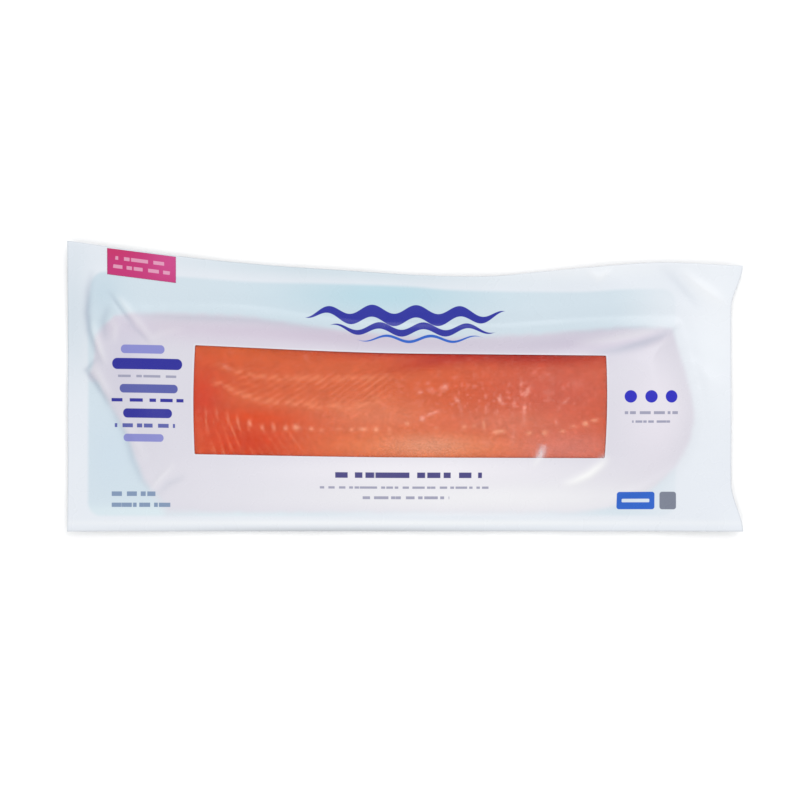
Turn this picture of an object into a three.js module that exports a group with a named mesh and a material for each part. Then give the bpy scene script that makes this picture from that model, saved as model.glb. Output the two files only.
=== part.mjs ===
// A vacuum pack of a smoked salmon side: a front film and a back film sealed round the fish,
// with a small label stuck on the front film's corner. All sizes are in millimetres.
// +X runs along the pack to the fish's broad end, +Y to the fish's thick back edge, and +Z is up,
// out of the printed front. The pack lies on its back film, and the origin is the middle of its
// footprint, on the surface that it lies on.
import * as THREE from "three";

const { clamp, lerp, smoothstep } = THREE.MathUtils;

// The pack's outline: straight at the left and the bottom, drawn in at the top and at the right.
const PACK_LENGTH = 460;
const PACK_HEIGHT = 198;
const HALF_LENGTH = PACK_LENGTH / 2;
const HALF_HEIGHT = PACK_HEIGHT / 2;
const TOP_EDGE = [
  [-HALF_LENGTH, HALF_HEIGHT],
  [-136, 86.5],
  [-48, 79.3],
  [56, 74.9],
  [90, 77.8],
  [126, 81.1],
  [172, 84.3],
  [HALF_LENGTH, 82],
];
const RIGHT_WAIST = 7.6; // how far the right edge is drawn in between its corners
const WAIST_FOOT = 0.18; // share of the right edge's height where the waist begins
const WAIST_HEAD = 0.84; // share of the right edge's height where the waist ends

// The fish's outline, seen from above: back edge, belly edge, narrow tail end and broad end.
// Shares of its height run from 0 at the belly edge to 1 at the back edge.
const BACK_EDGE = [
  [-200, 51],
  [-110, 48],
  [-60, 40.8],
  [0, 34.8],
  [71, 35],
  [150, 40.4],
  [182, 40],
];
const BELLY_EDGE_Y = -87;
const TAIL_END = [
  [0, -162],
  [0.17, -179],
  [0.4, -191],
  [0.62, -208],
  [0.8, -215.5],
  [1, -200],
];
const BROAD_END_X = 197.5;
const BROAD_END_AT = 0.54; // share of the height at which the broad end reaches furthest
const BELLY_CORNER_LENGTH = 84; // the belly corner is a quarter of an ellipse this long
const BACK_CORNER_LENGTH = 15.5;
const BACK_CORNER_POWER = 1.25;

// The fish's thickness.
const LOIN_THICKNESS = 21.5;
const FLAP_THICKNESS = 10.5;
const LOIN_AT = 0.66; // share of the height where the loin is thickest
const LOIN_FALL = 3; // how much lower the back edge's shoulder is than the loin
const TAIL_SHARE = 0.55; // thickness left at the tail end
const TAIL_RUN = [-215, 40]; // stretch along X over which the tail thickens
const BROAD_FALL = 0.12; // share of the thickness lost towards the broad end
const BROAD_RUN = [80, 197];
const RIM_LIFT_SHARE = 0.09; // how high the blunt rim begins, as a share of the thickness
const RIM_SHARE = 0.15; // the rim's own height, as a share of the thickness
const UNDERCUT = 14; // how far in the underside is flat

// How far in from its edge the fish reaches its full thickness.
const BACK_SHOULDER = 21;
const BELLY_SHOULDER = 44;
const TAIL_SHOULDER = 42;
const BROAD_SHOULDER = 30;
const SHOULDER_POWER = 2.4;

// The films and the seal round the fish.
const FILM = 0.5;
const GAP = 0.4; // between faces that touch
const FISH_FLOOR = FILM + GAP; // height of the fish's underside
const CLING_GAP = 0.7; // between the fish and the front film
const TENT = 9; // how far past the fish the front film comes down to the seal
const SEAL_RISE = 2.2; // how far the seal stands off the surface round the fish
const SEAL_RISE_RUN = 16;
const CORNER_LIFT = 3.2;
const CORNER_POWER = 4;
const RIPPLE_HEIGHT = 0.5;
const RIPPLE_LENGTH = 92;

// Gathers in the front film: where each begins and ends, its height and its half width.
const GATHERS = [
  { from: [-198, 66], to: [-166, 26], height: 2.4, width: 6 },
  { from: [-214, 68], to: [-210, 10], height: 1.6, width: 6 },
  { from: [168, 78], to: [206, 46], height: 2.0, width: 8 },
  { from: [112, 30], to: [184, 42], height: 1.3, width: 6 },
  { from: [-196, -30], to: [-168, -64], height: 1.2, width: 7 },
];

// The label: its ends are upright, and its long edges fall along the pack with the top edge.
const LABEL_LENGTH = 46.8;
const LABEL_HEIGHT = 17.8;
const LABEL_THICKNESS = 0.3;
const LABEL_CENTRE = [-179.7, 82.2];
const LABEL_SLOPE = -0.128;

// Grid cells along X and along Y.
const FRONT_GRID = [50, 24];
const BACK_GRID = [30, 14];
const FISH_GRID = [40, 16];
const LABEL_GRID = [6, 3];
const OUTLINE_STEPS = 60; // points along each edge of the fish's outline
const END_CROWDING = 0.4; // how much closer together a film's columns are at its ends

// A smooth function y(x) through a few points.
function curveThrough(points) {
  const places = points.map((point) => point[0]);
  const values = points.map((point) => point[1]);
  const curve = new THREE.CubicInterpolant(places, values, 1, [0]);
  return (place) => curve.evaluate(clamp(place, places[0], places.at(-1)))[0];
}

const topEdge = curveThrough(TOP_EDGE);
const backEdge = curveThrough(BACK_EDGE);
const tailEnd = curveThrough(TAIL_END);

function rightEdge(share) {
  const foot = smoothstep(share, 0, WAIST_FOOT);
  const head = 1 - smoothstep(share, WAIST_HEAD, 1);
  return HALF_LENGTH - RIGHT_WAIST * foot * head;
}

function broadEnd(share) {
  if (share >= BROAD_END_AT) {
    const past = (share - BROAD_END_AT) / (1 - BROAD_END_AT);
    return BROAD_END_X - BACK_CORNER_LENGTH * past ** BACK_CORNER_POWER;
  }
  const below = 1 - share / BROAD_END_AT;
  return BROAD_END_X - BELLY_CORNER_LENGTH * (1 - Math.sqrt(1 - below * below));
}

// Places on the pack and on the fish for shares 0 to 1 along X and along Y.
function packPlace(along, across) {
  const x = lerp(-HALF_LENGTH, rightEdge(across), along);
  return [x, lerp(-HALF_HEIGHT, topEdge(x), across)];
}

function fishPlace(along, across) {
  const x = lerp(tailEnd(across), broadEnd(across), along);
  return [x, lerp(BELLY_EDGE_Y, backEdge(x), across)];
}

function labelPlace(along, across) {
  const x = (along - 0.5) * LABEL_LENGTH;
  const y = (across - 0.5) * LABEL_HEIGHT + LABEL_SLOPE * x;
  return [LABEL_CENTRE[0] + x, LABEL_CENTRE[1] + y];
}

// The fish's outline as a closed ring of points, for distances from its edge.
function fishRing() {
  const ring = [];
  for (let step = 0; step < OUTLINE_STEPS; step++) ring.push(fishPlace(step / OUTLINE_STEPS, 0));
  for (let step = 0; step < OUTLINE_STEPS; step++) ring.push(fishPlace(1, crowded(step)));
  for (let step = 0; step < OUTLINE_STEPS; step++) ring.push(fishPlace(1 - step / OUTLINE_STEPS, 1));
  for (let step = 0; step < OUTLINE_STEPS; step++) ring.push(fishPlace(0, 1 - crowded(step)));
  return ring;
}

// Shares that crowd towards both ends, for the short edges with their round corners.
function crowded(step) {
  return rounded(step / OUTLINE_STEPS);
}

function rounded(share) {
  return (1 - Math.cos(Math.PI * share)) / 2;
}

const FISH_RING = fishRing();

// Distance from the fish's edge: positive inside the outline and negative outside it.
function depthInFish(x, y) {
  let nearest = Infinity;
  let inside = false;
  FISH_RING.forEach(([ax, ay], index) => {
    const [bx, by] = FISH_RING[(index + 1) % FISH_RING.length];
    const dx = bx - ax;
    const dy = by - ay;
    const share = clamp(((x - ax) * dx + (y - ay) * dy) / (dx * dx + dy * dy), 0, 1);
    nearest = Math.min(nearest, Math.hypot(x - ax - share * dx, y - ay - share * dy));
    if (ay > y !== by > y && x < ax + ((y - ay) / dy) * dx) inside = !inside;
  });
  return inside ? nearest : -nearest;
}

function acrossFish(x, y) {
  return clamp((y - BELLY_EDGE_Y) / (backEdge(x) - BELLY_EDGE_Y), 0, 1);
}

// The fish's full thickness away from its edges.
function fishThickness(x, y) {
  const across = acrossFish(x, y);
  const loin = lerp(FLAP_THICKNESS, LOIN_THICKNESS, smoothstep(across, 0, LOIN_AT));
  const shoulder = loin - LOIN_FALL * smoothstep(across, LOIN_AT, 1);
  const tail = lerp(TAIL_SHARE, 1, smoothstep(x, ...TAIL_RUN));
  const broad = 1 - BROAD_FALL * smoothstep(x, ...BROAD_RUN);
  return shoulder * tail * broad;
}

function shoulderWidth(x, y) {
  const long = lerp(BELLY_SHOULDER, BACK_SHOULDER, smoothstep(acrossFish(x, y), 0.3, 0.75));
  const tail = smoothstep(-x, 140, 205);
  const broad = smoothstep(x, 130, 190);
  return lerp(lerp(long, TAIL_SHOULDER, tail), BROAD_SHOULDER, broad);
}

// The fish's underside is flat inside and rounds up to a blunt rim at its edge.
function fishUnder(x, y) {
  const depth = clamp(depthInFish(x, y) / UNDERCUT, 0, 1);
  return FISH_FLOOR + RIM_LIFT_SHARE * fishThickness(x, y) * (1 - depth) ** 2;
}

function fishTop(x, y) {
  const depth = clamp(depthInFish(x, y) / shoulderWidth(x, y), 0, 1);
  const rim = RIM_LIFT_SHARE + RIM_SHARE;
  return FISH_FLOOR + fishThickness(x, y) * lerp(rim, 1, 1 - (1 - depth) ** SHOULDER_POWER);
}

// The back film is flat under the fish and stands a little off the surface round it.
function backFilmUnder(x, y) {
  const past = smoothstep(-depthInFish(x, y), 0, SEAL_RISE_RUN);
  const corner = Math.abs((x / HALF_LENGTH) * (y / HALF_HEIGHT)) ** CORNER_POWER;
  const ripple = 1 + Math.sin((2 * Math.PI * (x + y)) / RIPPLE_LENGTH);
  return past * (SEAL_RISE + CORNER_LIFT * corner + RIPPLE_HEIGHT * ripple);
}

function backFilmTop(x, y) {
  return backFilmUnder(x, y) + FILM;
}

function gatherHeight(x, y, { from, to, height, width }) {
  const [dx, dy] = [to[0] - from[0], to[1] - from[1]];
  const length = Math.hypot(dx, dy);
  const along = ((x - from[0]) * dx + (y - from[1]) * dy) / length ** 2;
  const aside = ((x - from[0]) * dy - (y - from[1]) * dx) / length;
  const fade = Math.sin(Math.PI * clamp(along, 0, 1));
  return height * fade * Math.exp(-((aside / width) ** 2));
}

// The front film lies on the back film at the seal, rises beside the fish and clings to its top.
function frontFilmUnder(x, y) {
  const depth = depthInFish(x, y);
  const seal = backFilmTop(x, y) + GAP;
  const full = FISH_FLOOR + fishThickness(x, y) + CLING_GAP;
  const share = clamp((depth + TENT) / (shoulderWidth(x, y) + TENT), 0, 1);
  const tent = lerp(seal, full, Math.sin((Math.PI / 2) * share));
  const cling = depth > 0 ? fishTop(x, y) + CLING_GAP : 0;
  const gathers = GATHERS.reduce((sum, gather) => sum + gatherHeight(x, y, gather), 0);
  return Math.max(tent, cling) + gathers;
}

function frontFilmTop(x, y) {
  return frontFilmUnder(x, y) + FILM;
}

function labelUnder(x, y) {
  return frontFilmTop(x, y) + GAP;
}

function labelTop(x, y) {
  return labelUnder(x, y) + LABEL_THICKNESS;
}

function evenly(share) {
  return share;
}

function crowdedAtEnds(share) {
  return share - (END_CROWDING * Math.sin(2 * Math.PI * share)) / (2 * Math.PI);
}

// A closed solid over a grid, between an underside and a top that are functions of x and y.
// Both faces are split into triangles alike, so a thin film keeps its thickness.
function solidBetween(under, top, place, [columns, rows], spaceX = evenly, spaceY = evenly) {
  const positions = [];
  for (const height of [under, top])
    for (let row = 0; row <= rows; row++)
      for (let column = 0; column <= columns; column++) {
        const [x, y] = place(spaceX(column / columns), spaceY(row / rows));
        positions.push(x, y, height(x, y));
      }
  const layer = (columns + 1) * (rows + 1);
  const vertex = (column, row) => row * (columns + 1) + column;
  const triangles = [];
  for (let row = 0; row < rows; row++)
    for (let column = 0; column < columns; column++) {
      const a = vertex(column, row);
      const b = vertex(column + 1, row);
      const c = vertex(column + 1, row + 1);
      const d = vertex(column, row + 1);
      triangles.push(a, c, b, a, d, c);
      triangles.push(a + layer, b + layer, c + layer, a + layer, c + layer, d + layer);
    }
  const rim = [];
  for (let column = 0; column < columns; column++) rim.push(vertex(column, 0));
  for (let row = 0; row < rows; row++) rim.push(vertex(columns, row));
  for (let column = columns; column > 0; column--) rim.push(vertex(column, rows));
  for (let row = rows; row > 0; row--) rim.push(vertex(0, row));
  rim.forEach((here, index) => {
    const next = rim[(index + 1) % rim.length];
    triangles.push(here, next, next + layer, here, next + layer, here + layer);
  });
  const geometry = new THREE.BufferGeometry();
  geometry.setAttribute("position", new THREE.Float32BufferAttribute(positions, 3));
  geometry.setIndex(triangles);
  geometry.computeVertexNormals();
  return geometry;
}

function piece(name, geometry, color, roughness, options = {}) {
  const material = new THREE.MeshStandardMaterial({ color, roughness, metalness: 0, ...options });
  const mesh = new THREE.Mesh(geometry, material);
  mesh.name = name;
  return mesh;
}

const backFilm = solidBetween(backFilmUnder, backFilmTop, packPlace, BACK_GRID, crowdedAtEnds);
const fish = solidBetween(fishUnder, fishTop, fishPlace, FISH_GRID, rounded, rounded);
const frontFilm = solidBetween(frontFilmUnder, frontFilmTop, packPlace, FRONT_GRID, crowdedAtEnds);
const label = solidBetween(labelUnder, labelTop, labelPlace, LABEL_GRID);
const seeThrough = { transparent: true, opacity: 0.6 };

const pack = new THREE.Group();
pack.name = "salmon_pack";
pack.add(piece("back_film", backFilm, 0xd5e3ec, 0.35));
pack.add(piece("salmon_side", fish, 0xd96a4c, 0.4));
pack.add(piece("front_film", frontFilm, 0xd5e3ec, 0.25, seeThrough));
pack.add(piece("corner_label", label, 0xc83778, 0.45));

export default pack;
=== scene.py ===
import math

import bpy
import numpy as np
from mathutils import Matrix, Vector


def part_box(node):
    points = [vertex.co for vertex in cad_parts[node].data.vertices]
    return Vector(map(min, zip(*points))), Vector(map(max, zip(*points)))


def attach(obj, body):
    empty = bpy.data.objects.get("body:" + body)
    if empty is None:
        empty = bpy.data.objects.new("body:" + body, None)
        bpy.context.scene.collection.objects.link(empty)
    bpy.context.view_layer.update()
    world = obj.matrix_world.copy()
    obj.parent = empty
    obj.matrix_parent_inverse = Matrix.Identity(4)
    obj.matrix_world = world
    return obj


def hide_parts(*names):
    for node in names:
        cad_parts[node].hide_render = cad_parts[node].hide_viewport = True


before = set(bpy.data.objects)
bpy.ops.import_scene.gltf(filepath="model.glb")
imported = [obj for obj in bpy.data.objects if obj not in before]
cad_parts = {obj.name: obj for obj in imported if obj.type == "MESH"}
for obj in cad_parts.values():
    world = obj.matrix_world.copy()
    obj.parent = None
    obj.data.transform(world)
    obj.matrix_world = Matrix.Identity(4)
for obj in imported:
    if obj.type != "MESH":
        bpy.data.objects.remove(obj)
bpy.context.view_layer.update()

MM = 0.001

# ---- sizes of the pack and the fish ----

film_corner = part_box("front_film")[1]
HALF_LENGTH = film_corner.x / MM
HALF_HEIGHT = film_corner.y / MM
# The pack's top edge sags between its corners, and its right edge draws in between foot and head.
TOP_EDGE = [(-HALF_LENGTH, HALF_HEIGHT), (-136, 86.5), (-48, 79.3), (56, 74.9), (90, 77.8),
            (126, 81.1), (172, 84.3), (HALF_LENGTH, 82)]
RIGHT_WAIST = 7.6
WAIST_FOOT, WAIST_HEAD = 0.18, 0.84

# The fish's outline: its back edge, and its tail end by the share of the way from belly to back.
BACK_EDGE = [(-200, 51), (-110, 48), (-60, 40.8), (0, 34.8), (71, 35), (150, 40.4), (182, 40)]
BELLY_EDGE_Y = -87
TAIL_END = [(0, -162), (0.17, -179), (0.4, -191), (0.62, -208), (0.8, -215.5), (1, -200)]
BROAD_END_X, BROAD_END_AT = 197.5, 0.54
BELLY_CORNER_LENGTH = 84
BACK_CORNER_LENGTH, BACK_CORNER_POWER = 15.5, 1.25

# The fish is thick along the loin and thin along the belly flap, and it tapers to the tail.
LOIN_THICKNESS, FLAP_THICKNESS = 21.5, 10.5
LOIN_AT, LOIN_FALL = 0.66, 3
TAIL_SHARE, TAIL_RUN = 0.55, (-215, 40)
BROAD_FALL, BROAD_RUN = 0.12, (80, 197)
RIM_LIFT_SHARE, RIM_SHARE = 0.08, 0.1
# How far in from each edge the fish reaches its full thickness, and where one width becomes another.
BACK_SHOULDER, BELLY_SHOULDER, TAIL_SHOULDER, BROAD_SHOULDER = 21, 44, 42, 30
BACK_SHOULDER_RUN, TAIL_SHOULDER_RUN, BROAD_SHOULDER_RUN = (0.3, 0.75), (140, 205), (130, 190)
SHOULDER_POWER = 2.4
# The flat underside's share of the fish's outline, along and across.
UNDERSIDE = (0.95, 0.86)

# Film thickness, the gap in the seal, the fish's underside and lowest rim, and the gap over the fish.
FILM = 0.14
SEAL_GAP = 0.03
FISH_FLOOR = 0.2
FISH_TOP_FLOOR = 0.6
CLING, CLING_SOFTNESS = 0.42, 0.8
# The film stands off the fish's edge like a tent, from this far outside it.
TENT, TENT_SOFTNESS = 9, 0.4
# The sealed margins stand a little off the table, most at the corners.
SEAL_RISE, SEAL_RISE_RUN = 2.5, 16
CORNER_LIFT, CORNER_POWER = 3.2, 4
RIPPLE_HEIGHT, RIPPLE_LENGTH = 0.5, 92
SLACK = 0.15
# Fine puckers round the fish's ends, in a band just outside its edge.
PUCKER_HEIGHT, PUCKER_LENGTH = 0.14, 13
PUCKER_BAND_OUT, PUCKER_BAND_REACH = 3, 9

LABEL_LENGTH, LABEL_HEIGHT, LABEL_THICKNESS = 46.8, 17.8, 0.16
LABEL_GAP = 0.03
LABEL_CENTRE = (-179.7, 82.2)
LABEL_SLOPE = -0.128

# The clear window in the print, in flat print places. It narrows along the pack from its left end,
# and its ends bulge.
WINDOW_CENTRE = (-3.7, -13.15)
WINDOW_HALF = (139.2, 35.65)
WINDOW_TURN = math.radians(-0.42)
WINDOW_BORDER, BORDER_SHARE = 1.1, 0.4
NARROW_FROM, NARROWING = -140.0, 0.0001
BULGE_AT_MIDDLE, BULGE = 0.996, 0.006

# How far the printed panel's top edge is drawn up along the pack, where its left edge runs, and
# where it fades on the right.
PANEL_RISE = [(-230, 4.6), (-146, 2.0), (-106, 1.2), (-58, 2.4), (-24, 2.6), (4, 1.9), (30, -0.3),
              (92, -1.7), (124, -1.6), (150, 0), (230, 0)]
PANEL_LEFT = [(-99, -216.2), (20, -216.2), (40, -216.5), (56, -216.4), (68, -214.6), (99, -213)]
PANEL_CENTRE = (-15.7, -11.2)
PANEL_HALF = (200.0, 77.1)
PANEL_DRAWN_RUN = (-200, -150)
PANEL_FADE, PANEL_FADED = (140.0, 188.0), 0.3
PRINT_LIFT, PRINT_LIFT_RUN = 7.5, (-216, 10)
PRINT_FOOT, PRINT_REACH = -87.5, 155.0

# Creases in the front film: the points along each, its height and half width, and how much painted
# shade (or, below zero, painted highlight) is laid along it.
CREASES = [
    ([(-203, 66), (-197, 57), (-191, 49), (-183, 40)], -0.7, 1.5, 0.34),
    ([(-198, 63), (-189, 52), (-180, 42), (-171, 31)], 1.0, 2.4, -0.25),
    ([(-190, 44), (-181, 37), (-172, 28)], -0.5, 1.3, 0.2),
    ([(-176, 30), (-166, 36), (-150, 40)], 0.5, 3.0, -0.12),
    ([(-213, 80), (-216, 66), (-217, 50), (-215.6, 38), (-211, 25), (-205, 13)], -0.8, 2.4, 0.55),
    ([(-214, 46), (-212, 36), (-207, 23), (-203, 14)], 1.2, 2.2, -0.35),
    ([(-202, 56), (-206, 44), (-204, 30)], -0.6, 2.8, 0.3),
    ([(-201, 48), (-197, 40), (-198, 28)], 0.5, 2.6, -0.2),
    ([(-209, 20), (-217.5, 11), (-211, 2), (-206, -6), (-202, -14)], -0.8, 1.8, 0.5),
    ([(-214, 15), (-210, 10), (-206, 2), (-200, -8)], 0.9, 2.6, -0.2),
    ([(-206, -4), (-198, -20), (-190, -35), (-186, -50), (-180, -63), (-170, -76)], -0.4, 2.4, 0.3),
    ([(-194, -18), (-186, -34), (-176, -52)], 0.6, 3.6, -0.12),
    ([(-188, 20), (-168, 24), (-150, 34)], 0.4, 5.0, 0),
    ([(-175, -72), (-166, -62), (-156, -52)], 0.6, 2.0, -0.2),
    ([(-170, -76), (-162, -67), (-148, -60)], -0.3, 2.4, 0.15),
    ([(-172, -70), (-150, -66), (-128, -56)], 0.4, 3.4, 0),
    ([(98, 35), (126, 37.5), (158, 40.5), (184, 39)], -0.4, 2.0, 0.15),
    ([(112, 29), (138, 31.5), (157, 35), (178, 41)], 0.9, 3.2, -0.3),
    ([(122, 21), (144, 24.5), (162, 29.5), (176, 34.5), (186, 39)], -0.6, 3.2, 0.35),
    ([(160, 24), (174, 29), (186, 38)], 0.4, 2.8, -0.15),
    ([(172, 82), (186, 70), (202, 52)], -0.6, 4.0, 0.12),
    ([(186, 80), (200, 68), (220, 54)], 1.5, 4.4, -0.25),
    ([(124, 79), (132, 73), (140, 80)], 0.7, 2.4, -0.3),
    ([(196, 20), (206, 4), (206, -20)], 0.7, 4.0, 0),
    # Two painted glare streaks by the window's lower right corner.
    ([(106, -67), (115, -64.6), (124.5, -60), (133, -53), (138, -47)], 1.0, 2.9, -1.0),
    ([(86, -56), (91, -48), (94, -39)], 0.1, 2.1, -0.45),
    ([(134, -80), (160, -70), (188, -54)], 0.8, 3.4, 0),
    ([(-120, -92), (-60, -90), (20, -92)], 0.4, 3.0, 0),
    # A line of painted shade along the fish's back edge, with almost no relief.
    ([(-200, 46), (-180, 48.4), (-153, 47), (-126, 46), (-99, 44.4), (-78, 42), (-46, 37)],
     -0.1, 2.6, 0.24),
]
CREASE_POWER, CREASE_END_POWER = 1.7, 0.8

# Where a fold covers the fish's edge, or bares it: place, reach along and across, how far.
EDGE_FOLDS = [(-215, 6, 4.5, 5, 5), (-216, 22, 5, 7, -7), (-203, 52, 9, 7, -5)]
# Where the fish's edge fades softly into the margin: place, reach along and across, how far.
SOFT_EDGE = (-165, -84, 22, 12, 3.5)

SEED = 11
NOISE_CELLS = 97


# ---- shape functions ----

def smoothstep(value, start, end):
    share = np.clip((value - start) / (end - start), 0, 1)
    return share * share * (3 - 2 * share)


def blend(start, end, share):
    return start + (end - start) * share


def smooth_maximum(first, second, softness):
    return (first + second + np.hypot(first - second, softness)) / 2


def bell(value, width):
    return np.exp(-((value / width) ** 2))


def curve_through(points):
    """A smooth function through a few points, with the mean of its chords' slopes at each."""
    places, values = np.array(points, float).T
    chords = np.diff(values) / np.diff(places)
    slopes = np.concatenate([chords[:1], (chords[1:] + chords[:-1]) / 2, chords[-1:]])

    def curve(place):
        place = np.clip(place, places[0], places[-1])
        left = np.clip(np.searchsorted(places, place, side="right") - 1, 0, len(chords) - 1)
        span = places[left + 1] - places[left]
        p = (place - places[left]) / span
        start = (1 + 2 * p) * (1 - p) ** 2 * values[left] + p * (1 - p) ** 2 * span * slopes[left]
        end = p * p * (3 - 2 * p) * values[left + 1] + p * p * (p - 1) * span * slopes[left + 1]
        return start + end

    return curve


top_edge = curve_through(TOP_EDGE)
back_edge = curve_through(BACK_EDGE)
tail_end = curve_through(TAIL_END)


def right_edge(share):
    drawn_in = smoothstep(share, 0, WAIST_FOOT) * (1 - smoothstep(share, WAIST_HEAD, 1))
    return HALF_LENGTH - RIGHT_WAIST * drawn_in


def broad_end(share):
    past = np.clip((share - BROAD_END_AT) / (1 - BROAD_END_AT), 0, 1)
    below = np.clip(1 - share / BROAD_END_AT, 0, 1)
    belly_corner = BELLY_CORNER_LENGTH * (1 - np.sqrt(1 - below**2))
    return BROAD_END_X - BACK_CORNER_LENGTH * past**BACK_CORNER_POWER - belly_corner


def pack_place(along, across):
    x = blend(-HALF_LENGTH, right_edge(across), along)
    return x, blend(-HALF_HEIGHT, top_edge(x), across)


def fish_place(along, across):
    x = blend(tail_end(across), broad_end(across), along)
    return x, blend(BELLY_EDGE_Y, back_edge(x), across)


def fish_ring(steps=60):
    """The fish's outline as a closed ring of points, crowded at its corners."""
    even = np.arange(steps) / steps
    crowded = (1 - np.cos(np.pi * even)) / 2
    sides = [(even, 0 * even), (0 * even + 1, crowded), (1 - even, 0 * even + 1),
             (0 * even, 1 - crowded)]
    return np.concatenate([np.stack(fish_place(*side), axis=-1) for side in sides])


RING = fish_ring()


def path_distance(x, y, points, closed=False):
    """Distance to a path and the length of path passed at its nearest point."""
    points = np.array(points, float)
    ends = np.roll(points, -1, axis=0) if closed else points[1:]
    nearest = np.full(np.shape(x), np.inf)
    way = np.zeros(np.shape(x))
    passed = 0.0
    for (ax, ay), (bx, by) in zip(points, ends):
        dx, dy = bx - ax, by - ay
        length = math.hypot(dx, dy)
        share = np.clip(((x - ax) * dx + (y - ay) * dy) / length**2, 0, 1)
        distance = np.hypot(x - ax - share * dx, y - ay - share * dy)
        closer = distance < nearest
        nearest = np.where(closer, distance, nearest)
        way = np.where(closer, passed + share * length, way)
        passed += length
    return nearest, way, passed


def depth_in_fish(x, y):
    """Distance inside the fish's edge, negative outside it, and the way round the edge."""
    nearest, way, _ = path_distance(x, y, RING, closed=True)
    inside = np.zeros(np.shape(x), bool)
    for (ax, ay), (bx, by) in zip(RING, np.roll(RING, -1, axis=0)):
        if ay != by:
            crossed = ax + (y - ay) / (by - ay) * (bx - ax)
            inside ^= ((ay > y) != (by > y)) & (x < crossed)
    return np.where(inside, nearest, -nearest), way


def across_fish(x, y):
    return np.clip((y - BELLY_EDGE_Y) / (back_edge(x) - BELLY_EDGE_Y), 0, 1)


def fish_thickness(x, y):
    across = across_fish(x, y)
    loin = blend(FLAP_THICKNESS, LOIN_THICKNESS, smoothstep(across, 0, LOIN_AT))
    shoulder = loin - LOIN_FALL * smoothstep(across, LOIN_AT, 1)
    tail = blend(TAIL_SHARE, 1, smoothstep(x, *TAIL_RUN))
    return shoulder * tail * (1 - BROAD_FALL * smoothstep(x, *BROAD_RUN))


def shoulder_width(x, y):
    across = smoothstep(across_fish(x, y), *BACK_SHOULDER_RUN)
    long = blend(BELLY_SHOULDER, BACK_SHOULDER, across)
    at_tail = blend(long, TAIL_SHOULDER, smoothstep(-x, *TAIL_SHOULDER_RUN))
    return blend(at_tail, BROAD_SHOULDER, smoothstep(x, *BROAD_SHOULDER_RUN))


def fish_top(x, y, depth):
    share = np.clip(depth / shoulder_width(x, y), 0, 1)
    rim = RIM_LIFT_SHARE + RIM_SHARE
    rise = blend(rim, 1, 1 - (1 - share) ** SHOULDER_POWER)
    return FISH_TOP_FLOOR + fish_thickness(x, y) * rise


panel_rise = curve_through(PANEL_RISE)
panel_left = curve_through(PANEL_LEFT)


def panel_place(x, y):
    """The place on the flat printed panel that the drawn and creased film holds at a place."""
    share = (y - PRINT_FOOT) / PRINT_REACH
    lift = PRINT_LIFT * (1 - smoothstep(x, *PRINT_LIFT_RUN)) + panel_rise(x)
    drawn = 1 - smoothstep(x, *PANEL_DRAWN_RUN)
    edge = PANEL_CENTRE[0] - PANEL_HALF[0]
    return x + drawn * (edge - panel_left(y)), y - lift * np.clip(share, 0, 2)


def value_noise(x, y, cell, draw):
    """Smooth noise from -1 to 1, with features about one cell wide, from a draw of its own."""
    table = np.random.default_rng(SEED + draw).uniform(-1, 1, (NOISE_CELLS, NOISE_CELLS))
    column, row = np.floor(x / cell).astype(int), np.floor(y / cell).astype(int)
    p, q = x / cell - column, y / cell - row
    p, q = p * p * (3 - 2 * p), q * q * (3 - 2 * q)

    def corner(dx, dy):
        return table[(row + dy) % NOISE_CELLS, (column + dx) % NOISE_CELLS]

    low = blend(corner(0, 0), corner(1, 0), p)
    high = blend(corner(0, 1), corner(1, 1), p)
    return blend(low, high, q)


def creases(x, y):
    """Height that the folds and puckers add to the front film, and the painted shade and painted
    highlight along them.
    """
    height = np.zeros(np.shape(x))
    shade = np.zeros(np.shape(x))
    for points, rise, width, painted_dark in CREASES:
        distance, way, length = path_distance(x, y, points)
        fade = np.sin(np.pi * np.clip(way / length, 0, 1)) ** CREASE_END_POWER
        ends = np.where((way <= 0) | (way >= length), 0, fade)
        profile = ends * np.exp(-((distance / width) ** CREASE_POWER))
        height += rise * profile
        shade += painted_dark * profile
    return height, shade


def gathers(x, y, depth, way):
    """Fine puckers that run out from the fish's two ends into the margins."""
    end = np.maximum(smoothstep(-x, 150, 200), 0.55 * smoothstep(x, 150, 195))
    band = bell(depth + PUCKER_BAND_OUT, PUCKER_BAND_REACH)
    wave = np.sin(2 * np.pi * way / PUCKER_LENGTH + 2.2 * value_noise(x, y, 17, 1))
    return PUCKER_HEIGHT * end * band * (wave + 0.3)


def margin_height(x, y):
    corner = np.abs((x / HALF_LENGTH) * (y / HALF_HEIGHT)) ** CORNER_POWER
    ripple = 1 + np.sin(2 * np.pi * (x + y) / RIPPLE_LENGTH)
    return SEAL_RISE + CORNER_LIFT * corner + RIPPLE_HEIGHT * ripple


def back_film_under(x, y, depth):
    return smoothstep(-depth, 0, SEAL_RISE_RUN) * margin_height(x, y)


def margin_waves(x, y, depth):
    """Slack in the sealed margins, which both films share."""
    past = smoothstep(-depth, 4, 18)
    return past * (0.35 * value_noise(x, y, 34, 2) + 0.12 * value_noise(x, y, 12, 3))


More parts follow.
